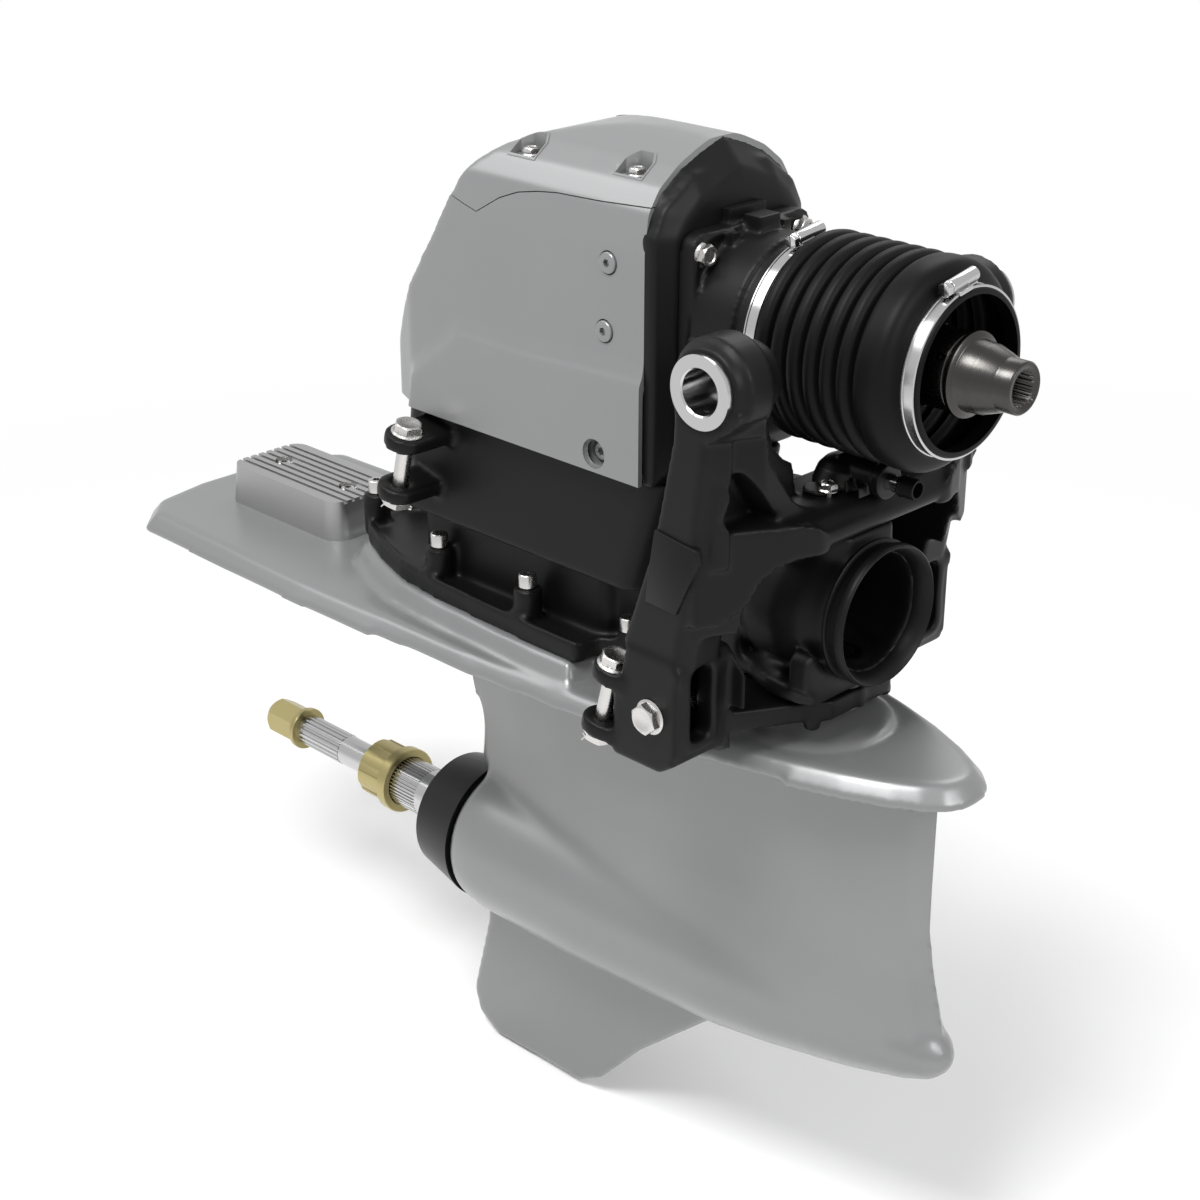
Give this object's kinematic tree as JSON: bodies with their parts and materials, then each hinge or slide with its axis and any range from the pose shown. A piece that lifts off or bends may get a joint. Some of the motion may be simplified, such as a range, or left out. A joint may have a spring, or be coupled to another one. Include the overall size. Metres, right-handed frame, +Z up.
{
  "type": "sterndrive",
  "caption": "Boat sterndrive with coaxial propeller shafts: it trims on the transom pivots, steers on kingpins, and drives through a double universal joint, cone clutch and bevel gears",
  "frame": {"origin": "where the trim axis, the steering axis and the input shaft axis cross", "axes": "+X forward to the engine along the input shaft, +Y to port along the trim axis, +Z up along the steering axis"},
  "size_m": [1.006, 0.364, 0.985],
  "materials": {
    "silver_paint": "satin paint on cast aluminium",
    "black_casting": "satin black paint on cast aluminium",
    "black_plastic": "satin",
    "grey_alloy": "cast and machined",
    "bellows_rubber": "matte",
    "seal_rubber": "matte",
    "machined_steel": "machined",
    "polished_steel": "polished",
    "zinc_steel": "zinc plated",
    "bronze": "machined bronze"
  },
  "bodies": {
    "transom_side": {"pivot_bush_starboard": "polished_steel", "pivot_bush_port": "polished_steel", "bellows_clamp_front": "zinc_steel", "bellows": "bellows_rubber"},
    "input_shaft": {"input_sleeve": "machined_steel", "front_cross": "machined_steel", "centre_yoke": "machined_steel"},
    "suspension_fork": {"suspension_fork": "black_casting", "trim_ram_pins": "zinc_steel", "front_steering_pins": "zinc_steel", "upper_kingpin": "polished_steel", "lower_kingpin": "polished_steel", "water_elbow": "black_plastic", "water_tube": "polished_steel", "water_elbow_bolts": "zinc_steel"},
    "joint_cross": {"rear_joint_ball": "machined_steel"},
    "drive": {"upper_gear_housing": "black_casting", "bearing_cover": "black_casting", "housing_bolts": "zinc_steel", "top_cap": "grey_alloy", "top_cover": "silver_paint", "top_cover_bolts": "zinc_steel", "side_cover_starboard": "silver_paint", "side_cover_port": "silver_paint", "side_cover_screws": "zinc_steel", "intermediate_housing": "black_casting", "exhaust_collar": "black_casting", "rear_steering_pins": "zinc_steel", "flange_cap_screws": "zinc_steel", "kingpin_bushes": "bronze", "lower_gear_housing": "silver_paint", "plate_cap": "grey_alloy", "plate_cap_screws": "zinc_steel", "torpedo_ring": "black_plastic", "bearing_carrier": "grey_alloy", "propeller_shaft_bearings": "polished_steel", "pinion_bearings": "polished_steel", "driven_gear_bearings": "polished_steel", "vertical_shaft_bearings": "polished_steel", "shaft_seals": "seal_rubber", "bellows_clamp_aft": "zinc_steel"},
    "pinion_shaft": {"rear_yoke": "machined_steel", "input_pinion": "machined_steel"},
    "upper_driven_gear": {"upper_driven_gear": "machined_steel"},
    "lower_driven_gear": {"lower_driven_gear": "machined_steel"},
    "vertical_shaft": {"upper_vertical_shaft": "machined_steel", "coupling_sleeve": "machined_steel", "lower_vertical_shaft": "machined_steel", "lower_pinion": "machined_steel"},
    "clutch_cone": {"clutch_cone": "machined_steel"},
    "shift_shoe": {"shift_shoe": "machined_steel"},
    "inner_propeller_shaft": {"inner_propeller_shaft": "polished_steel", "fore_propeller_gear": "machined_steel", "propeller_nut": "bronze"},
    "outer_propeller_shaft": {"outer_propeller_shaft": "polished_steel", "aft_propeller_gear": "machined_steel", "shaft_collar": "bronze", "shaft_bushes": "bronze"}
  },
  "joints": [
    {"name": "input_spin", "type": "hinge", "parent": "transom_side", "child": "input_shaft", "pos_m": [0, 0, 0], "axis": [1, 0, 0], "continuous": true},
    {"name": "trim", "type": "hinge", "parent": "transom_side", "child": "suspension_fork", "pos_m": [0, 0, 0], "axis": [0, 1, 0], "range_deg": [-6, 45], "deforming": ["bellows"]},
    {"name": "cross_spin", "type": "hinge", "parent": "suspension_fork", "child": "joint_cross", "pos_m": [0, 0, 0], "axis": [1, 0, 0], "continuous": true},
    {"name": "steering", "type": "hinge", "parent": "suspension_fork", "child": "drive", "pos_m": [0, 0, 0], "axis": [0, 0, 1], "range_deg": [-28, 28], "deforming": ["bellows"]},
    {"name": "pinion_spin", "type": "hinge", "parent": "drive", "child": "pinion_shaft", "pos_m": [0, 0, 0], "axis": [1, 0, 0], "continuous": true},
    {"name": "upper_gear_spin", "type": "hinge", "parent": "drive", "child": "upper_driven_gear", "pos_m": [-0.29, 0, 0], "axis": [0, 0, 1], "continuous": true},
    {"name": "lower_gear_spin", "type": "hinge", "parent": "drive", "child": "lower_driven_gear", "pos_m": [-0.29, 0, 0], "axis": [0, 0, 1], "continuous": true},
    {"name": "vertical_spin", "type": "hinge", "parent": "drive", "child": "vertical_shaft", "pos_m": [-0.29, 0, 0], "axis": [0, 0, 1], "continuous": true},
    {"name": "clutch_shift", "type": "slide", "parent": "vertical_shaft", "child": "clutch_cone", "axis": [0, 0, 1], "range_m": [-0.0025, 0.0025]},
    {"name": "shoe_shift", "type": "slide", "parent": "drive", "child": "shift_shoe", "axis": [0, 0, 1], "range_m": [-0.0025, 0.0025]},
    {"name": "inner_spin", "type": "hinge", "parent": "drive", "child": "inner_propeller_shaft", "pos_m": [0, 0, -0.6], "axis": [1, 0, 0], "continuous": true},
    {"name": "outer_spin", "type": "hinge", "parent": "drive", "child": "outer_propeller_shaft", "pos_m": [0, 0, -0.6], "axis": [1, 0, 0], "continuous": true}
  ],
  "couplings": [
    {"joint": "cross_spin", "follows": "input_spin", "ratio": 1},
    {"joint": "pinion_spin", "follows": "input_spin", "ratio": 1},
    {"joint": "upper_gear_spin", "follows": "input_spin", "ratio": -0.81818},
    {"joint": "lower_gear_spin", "follows": "input_spin", "ratio": 0.81818},
    {"joint": "vertical_spin", "follows": "input_spin", "ratio": -0.81818},
    {"joint": "inner_spin", "follows": "input_spin", "ratio": 0.47962},
    {"joint": "outer_spin", "follows": "input_spin", "ratio": -0.47962},
    {"joint": "shoe_shift", "follows": "clutch_shift", "ratio": 1}
  ]
}
